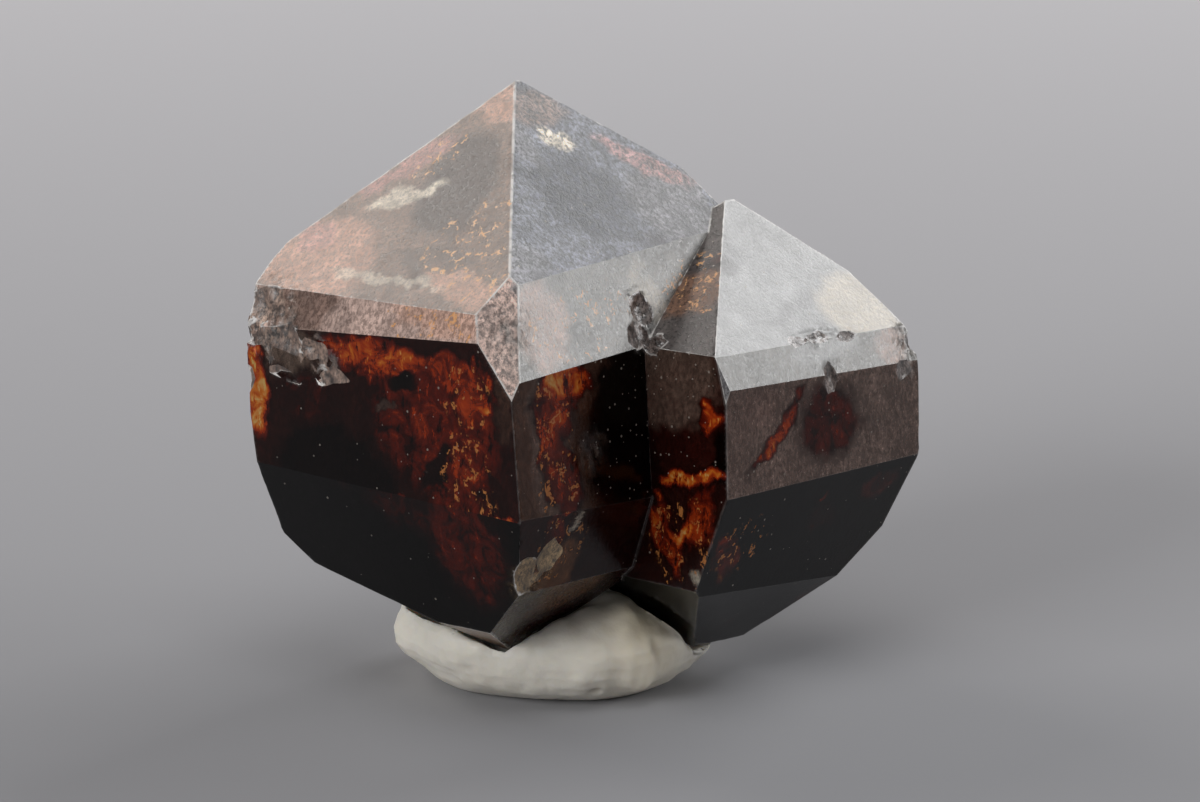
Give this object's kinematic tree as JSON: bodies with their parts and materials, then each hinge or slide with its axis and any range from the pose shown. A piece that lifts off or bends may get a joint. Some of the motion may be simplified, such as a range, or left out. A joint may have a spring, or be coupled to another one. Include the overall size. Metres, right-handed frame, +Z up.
{
  "type": "zircon crystal specimen",
  "caption": "Dark red-brown zircon specimen of intergrown tetragonal crystals with pyramid tips, held upright on a small lump of white mounting putty.",
  "frame": {"origin": "on the resting surface, under the middle of the bounding box", "axes": "+X along the pair of crystals, from the large one to the small one; +Y away from the faces that the picture shows; +Z up, about seven degrees off the crystals' long axis"},
  "size_m": [0.0204, 0.0166, 0.0178],
  "materials": {
    "zircon": "glassy to frosted",
    "white_putty": "matte"
  },
  "bodies": {
    "root": {"zircon_crystal": "zircon", "putty": "white_putty"}
  },
  "joints": []
}
